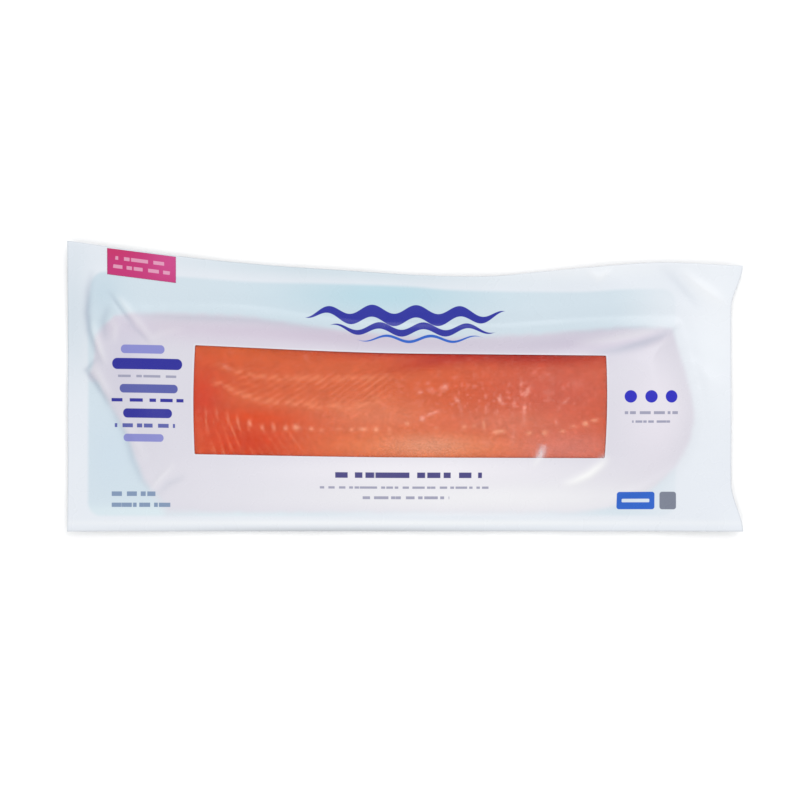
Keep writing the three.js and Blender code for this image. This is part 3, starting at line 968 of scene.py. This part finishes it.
def back_film_surface(tree, place, _):
    film = use_group(tree, FILM_SURFACE, place=place, gloss=0.32)
    colour = mix_colour(tree, mark_value(tree, "fish_near"), MARGIN, BACK_FISH_SHADE)
    return node(tree, "BsdfPrincipled", {
        "Base Color": colour, "Roughness": film.outputs["Roughness"],
        "Normal": bump(tree, film.outputs["Height"], *FILM_BUMP), "IOR": 1.5,
    })


def flesh(red, green, blue):
    return srgb(red, green, blue, FLESH_LEVEL, FLESH_GLOSS)


FLESH = flesh(199, 89, 58)
# Flesh tones and painted shade: the dark red bands along the window's top are partly the flesh's darker
# back and partly painted shade where it curves away. Centre, reach and turn in millimetres and degrees,
# strength, colour.
FLESH_TONES_AND_SHADE = [
    ((-92, 24), (60, 8), -3, 0.6, flesh(205, 100, 57)),
    ((-72, -10.5), (48, 4.2), -4, 0.3, flesh(222, 116, 80)),
    ((-100, -21.5), (32, 5.0), -2, 0.7, flesh(209, 72, 31)),
    ((-35, 2), (75, 24), 0, 0.75, flesh(199, 100, 68)),
    ((-18, -20), (44, 12), 0, 0.5, flesh(217, 137, 105)),
    ((20, -41), (80, 10), 0, 0.85, flesh(220, 128, 84)),
    ((16, -40), (30, 7), 0, 0.5, flesh(199, 150, 128)),
    ((-108, -40), (36, 18), 0, 0.8, flesh(197, 57, 31)),
    ((105, -4), (52, 30), 0, 0.7, flesh(190, 97, 84)),
    ((110, -42), (40, 12), 0, 0.7, flesh(199, 123, 112)),
    # Painted shade along the window's top edge, partly the flesh's own darker back.
    ((34, 23.5), (104, 6.5), -1.0, 0.9, flesh(165, 31, 31)),
    ((22, 17), (34, 4.6), 10, 0.55, flesh(163, 31, 31)),
    ((88, 20), (44, 6.0), 0, 0.8, flesh(157, 39, 31)),
    ((-138, -8), (16, 22), 0, 0.6, flesh(193, 50, 42)),
    ((68, -24), (40, 9), 0, 0.5, flesh(205, 127, 104)),
]
# The marks' colours, and how much of each is laid over the flesh.
FLESH_MARKS = [
    ("fat_line", 0.32, flesh(234, 150, 112)),
    ("pin_bone", 0.52, flesh(246, 186, 150)),
    # Pale flecks, part albumin and part painted wet sheen.
    ("pale_fleck_sheen", 0.55, flesh(243, 176, 160)),
]


def flesh_surface(tree, place, _):
    blotch = ramp(tree, noise(tree, place, 0.12, detail=4.0, roughness=0.6), 0.3, 0.7, 0.95, 1.05)
    grain_place = vector_node(tree, "MULTIPLY", place, (0.8, 1.2, 1.0))
    grain = ramp(tree, noise(tree, grain_place, 0.7, detail=3.0, roughness=0.7), 0.3, 0.7, 0.88, 1.11)
    tones = {0: tint(tree, place, FLESH, FLESH_TONES_AND_SHADE), "Scale": times(tree, blotch, grain)}
    colour = node(tree, "VectorMath", tones, operation="SCALE").outputs[0]
    for mark, share, tone in FLESH_MARKS:
        colour = mix_colour(tree, times(tree, mark_value(tree, mark), share), colour, tone)
    return node(tree, "BsdfPrincipled", {
        "Base Color": colour,
        "Roughness": ramp(tree, blotch, 0.95, 1.05, 0.34, 0.5),
        "Normal": bump(tree, noise(tree, place, 1.6, detail=3.0), 0.25, 0.25),
        "IOR": 1.4, "Specular IOR Level": 0.12,
        "Subsurface Weight": 0.12, "Subsurface Radius": (1.0, 0.35, 0.2),
        "Subsurface Scale": 3 * MM,
    })


LABEL_PINK = srgb(202, 62, 124)
LABEL_INK = srgb(244, 196, 220)
LABEL_TINTS = [
    ((-160, 84), (16, 14), 0, 0.7, srgb(214, 88, 152)),
    ((-198, 92), (18, 5), 0, 0.6, srgb(206, 56, 104)),
]
# The label's lines of dashes: rise over its centre, half length, seed.
LABEL_INK_SHARE = 0.6
LABEL_LINES = [(3.0, 18.0, 2.2), (-2.8, 19.5, 7.9)]


def label_surface(tree, place, _):
    colour = tint(tree, place, LABEL_PINK, LABEL_TINTS)
    for rise, half, seed in LABEL_LINES:
        centre = (LABEL_CENTRE[0], LABEL_CENTRE[1] + rise)
        line = use_group(tree, PRINT_DASHES, place=place, centre=centre, half_size=(half, 1.2),
                         turn=math.atan(LABEL_SLOPE), dash=5.0, seed=seed)
        faint = times(tree, line.outputs["Mask"], LABEL_INK_SHARE)
        colour = mix_colour(tree, faint, colour, LABEL_INK)
    fibre = noise(tree, place, 2.2, detail=3.0)
    return node(tree, "BsdfPrincipled", {
        "Base Color": colour, "Roughness": ramp(tree, fibre, 0.3, 0.7, 0.36, 0.46),
        "Normal": bump(tree, fibre, 0.15, 0.1), "IOR": 1.5,
    })


# ---- the pieces ----

def make_front_film():
    along = spread((0.16, 0.0024), (0.84, 0.0046), (1.0, 0.0032))
    across = spread((1.0, 0.0068))
    x, y = pack_place(along[None, :], across[:, None])
    depth, way = depth_in_fish(x, y)
    under = front_film_under(x, y, depth, way)
    uneven = 0.6 * value_noise(x, y, 6, 13)
    for at_x, at_y, long, high, reach in EDGE_FOLDS:
        uneven += reach * oval(x - at_x, y - at_y, long, high)
    at_x, at_y, long, high, reach = SOFT_EDGE
    soft = reach * oval(x - at_x, y - at_y, long, high)
    near = smoothstep(depth + uneven, -1.8 - soft, 3.2 + soft)
    panel_x, panel_y = panel_place(x, y)
    # The creases' painted shade and painted highlight go to the film as a mark.
    marks = {"fish_near": near, "fold_painted_light": np.clip(creases(x, y)[1], -1, 1),
             "panel_x": panel_x, "panel_y": panel_y}
    film = sheet("printed_front_film", x, y, under, under + FILM, marks)
    paint(film, "printed pouch film", front_film_surface)
    return film


def make_back_film():
    along = spread((1.0, 0.0065))
    across = spread((1.0, 0.015))
    x, y = pack_place(along[None, :], across[:, None])
    depth, _ = depth_in_fish(x, y)
    under = np.maximum(back_film_under(x, y, depth) + margin_waves(x, y, depth), 0)
    near = smoothstep(depth, -1.0, 2.5)
    film = sheet("plain_back_film", x, y, under, under + FILM, {"fish_near": near})
    paint(film, "plain pouch film", back_film_surface)
    return film


def make_fish():
    along = spread((0.15, 0.008), (0.87, 0.0016), (1.0, 0.006))
    across = spread((0.04, 0.01), (0.24, 0.02), (0.95, 0.0052), (1.0, 0.01))
    x, y = fish_place(along[None, :], across[:, None])
    depth, _ = depth_in_fish(x, y)
    depth = np.maximum(depth, 0)
    fat, bone, fleck, relief = flesh_marks(x, y)
    settle = smoothstep(depth, 1, 10)
    top = fish_top(x, y, depth) + settle * relief
    rows, columns = x.shape
    skin = np.stack([x, y, top], axis=-1).reshape(-1, 3)
    rim = grid_rim(rows, columns)
    foot = skin[rim].copy()
    foot[:, 2] = FISH_TOP_FLOOR + RIM_LIFT_SHARE * fish_thickness(foot[:, 0], foot[:, 1])
    base = foot.copy()
    middle = base[:, :2].mean(axis=0)
    base[:, :2] = middle + (base[:, :2] - middle) * UNDERSIDE
    base[:, 2] = FISH_FLOOR
    count = rows * columns
    foot_ring = count + np.arange(len(rim))
    base_ring = foot_ring + len(rim)
    faces = grid_faces(rows, columns) + wall_faces(foot_ring, rim) + wall_faces(base_ring, foot_ring)
    faces.append(base_ring[::-1].tolist())
    extra = np.zeros(2 * len(rim))
    marks = {"fat_line": fat * settle, "pin_bone": bone * settle, "pale_fleck_sheen": fleck * settle}
    marks = {mark: np.concatenate([values.ravel(), extra]) for mark, values in marks.items()}
    fish = add_mesh("smoked_side", np.concatenate([skin, foot, base]), faces, marks)
    paint(fish, "smoked salmon flesh", flesh_surface)
    return fish


def make_label():
    along, across = np.meshgrid(np.linspace(-0.5, 0.5, 49), np.linspace(-0.5, 0.5, 21))
    along, across = along * LABEL_LENGTH, across * LABEL_HEIGHT
    x = LABEL_CENTRE[0] + along
    y = LABEL_CENTRE[1] + across + LABEL_SLOPE * along
    depth, way = depth_in_fish(x, y)
    under = front_film_under(x, y, depth, way) + FILM + LABEL_GAP
    label = sheet("corner_sticker", x, y, under, under + LABEL_THICKNESS)
    paint(label, "coated label paper", label_surface)
    return label


PIECES = [
    (make_back_film(), "back_film", "back_film"),
    (make_fish(), "salmon_side", "salmon"),
    (make_front_film(), "front_film", "front_film"),
    (make_label(), "corner_label", "label"),
]
for piece, stands_for, finish_slot in PIECES:
    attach(piece, "root")
    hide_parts(stands_for)


# ---- studio ----

FLOOR_REACH, FLOOR_DROP = 3000, 0.2


def floor_surface(tree, place, _):
    mottle = ramp(tree, noise(tree, place, 0.01), 0.3, 0.7, 0.0, 1.0)
    colour = mix_colour(tree, mottle, (0.95, 0.95, 0.95, 1), (0.96, 0.96, 0.96, 1))
    return node(tree, "BsdfPrincipled", {"Base Color": colour, "Roughness": 0.9})


def make_floor():
    corners = [(-1, -1), (1, -1), (1, 1), (-1, 1)]
    places = [(x * FLOOR_REACH, y * FLOOR_REACH, -FLOOR_DROP) for x, y in corners]
    floor = add_mesh("studio_floor", places, [[0, 1, 2, 3]])
    paint(floor, "pale studio floor", floor_surface)


def make_light(name, place, size, power):
    lamp = bpy.data.lights.new(name, "AREA")
    lamp.shape = "SQUARE"
    lamp.size = size
    lamp.energy = power
    light = add_object(name, lamp)
    light.location = place
    light.rotation_euler = Vector(place).to_track_quat("Z", "Y").to_euler()


VIEW_CENTRE, VIEW_WIDTH = (-7.6, -5.4, 6.0), 536.6
LENS, SENSOR = 100.0, 36.0


def make_camera():
    """Straight above the pack, with the fish's back edge at the top of the view."""
    camera_data = bpy.data.cameras.new("camera")
    camera_data.lens = LENS
    camera_data.sensor_width = SENSOR
    camera = add_object("camera", camera_data)
    camera.location = Vector(VIEW_CENTRE) * MM + Vector((0, 0, VIEW_WIDTH * MM * LENS / SENSOR))
    bpy.context.scene.camera = camera


def make_world(strength):
    world = bpy.data.worlds.new("studio")
    world.use_nodes = True
    background = world.node_tree.nodes["Background"]
    background.inputs["Color"].default_value = (1, 1, 1, 1)
    background.inputs["Strength"].default_value = strength
    bpy.context.scene.world = world


make_floor()
make_world(0.93)
make_light("key", (0.8, 1.4, 1.9), 2.0, 18.0)
make_light("fill", (-0.6, -1.4, 1.8), 2.0, 9.0)
make_camera()
bpy.context.scene.view_settings.view_transform = "Standard"
